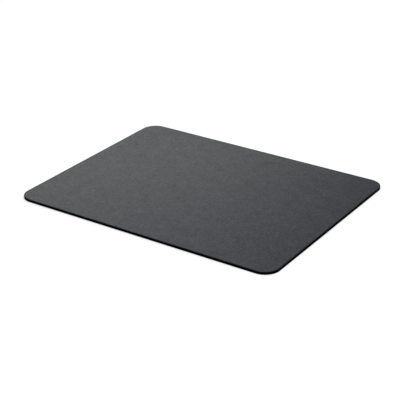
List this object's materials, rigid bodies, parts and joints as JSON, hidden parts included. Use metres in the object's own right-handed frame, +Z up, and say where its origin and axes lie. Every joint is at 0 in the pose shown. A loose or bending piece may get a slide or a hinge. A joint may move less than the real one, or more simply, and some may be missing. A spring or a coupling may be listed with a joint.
{
  "type": "mouse pad",
  "caption": "Thin rectangular mouse pad with rounded corners: a grey face cloth bonded by a film to a black foam rubber base, lying flat on a desk.",
  "frame": {"origin": "centre of the face that lies on the desk", "axes": "+X along the long side, +Y along the short side, +Z up out of the working face"},
  "size_m": [0.23, 0.18, 0.002],
  "materials": {
    "face_cloth": "matte",
    "bonding_film": "satin",
    "foam_rubber": "matte"
  },
  "bodies": {
    "root": {"face_cloth": "face_cloth", "bonding_film": "bonding_film", "rubber_base": "foam_rubber"}
  },
  "joints": []
}
